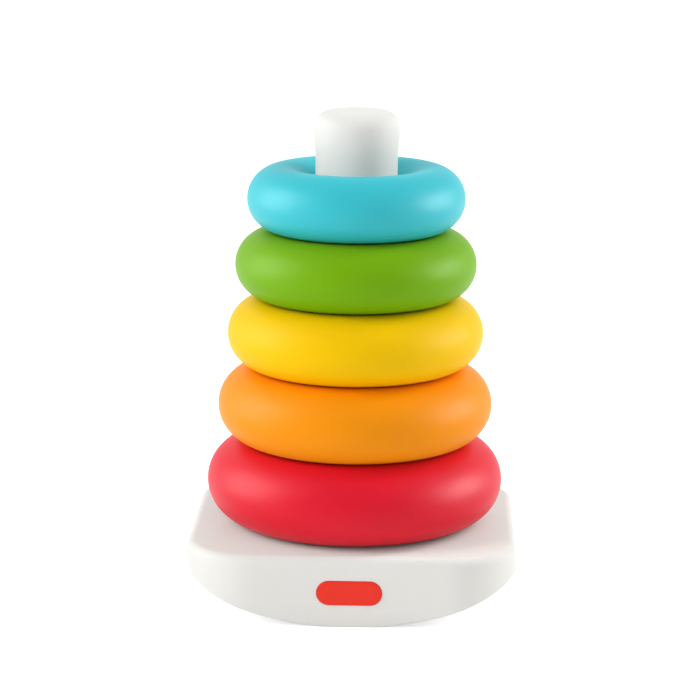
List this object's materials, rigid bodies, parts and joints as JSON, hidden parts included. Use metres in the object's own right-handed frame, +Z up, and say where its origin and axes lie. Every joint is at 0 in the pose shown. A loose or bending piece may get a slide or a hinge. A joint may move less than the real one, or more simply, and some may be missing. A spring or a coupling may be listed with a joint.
{
  "type": "stacking ring toy",
  "caption": "Baby's stacking toy: hollow coloured rings of falling size on a white tapered post with a rounded end, on a rounded rocking base.",
  "frame": {"origin": "on the floor under the middle of the base", "axes": "+Z up along the post, -Y towards the front wall with the badge, +X to the right seen from the front"},
  "size_m": [0.1358, 0.1274, 0.2024],
  "materials": {
    "white_shell": "satin moulded white plastic with a fine even grain",
    "red_plastic": "satin blow-moulded red plastic",
    "orange_plastic": "satin blow-moulded orange plastic",
    "yellow_plastic": "satin blow-moulded yellow plastic",
    "green_plastic": "satin blow-moulded leaf green plastic",
    "blue_plastic": "satin blow-moulded turquoise plastic",
    "badge_red": "smooth glossy red plate",
    "screw_steel": "zinc-plated steel"
  },
  "bodies": {
    "base": {"base_cover": "white_shell", "rocker_bottom": "white_shell", "post": "white_shell", "post_screws": "screw_steel", "base_screws": "screw_steel", "front_badge": "badge_red"},
    "red": {"ring_red": "red_plastic"},
    "orange": {"ring_orange": "orange_plastic"},
    "yellow": {"ring_yellow": "yellow_plastic"},
    "green": {"ring_green": "green_plastic"},
    "blue": {"ring_blue": "blue_plastic"}
  },
  "joints": [
    {"name": "red_lift", "type": "slide", "parent": "base", "child": "red", "axis": [0, 0, 1], "range_m": [0, 0.185]},
    {"name": "orange_lift", "type": "slide", "parent": "red", "child": "orange", "axis": [0, 0, 1], "range_m": [0, 0.15]},
    {"name": "yellow_lift", "type": "slide", "parent": "orange", "child": "yellow", "axis": [0, 0, 1], "range_m": [0, 0.12]},
    {"name": "green_lift", "type": "slide", "parent": "yellow", "child": "green", "axis": [0, 0, 1], "range_m": [0, 0.09]},
    {"name": "blue_lift", "type": "slide", "parent": "green", "child": "blue", "axis": [0, 0, 1], "range_m": [0, 0.06]}
  ]
}
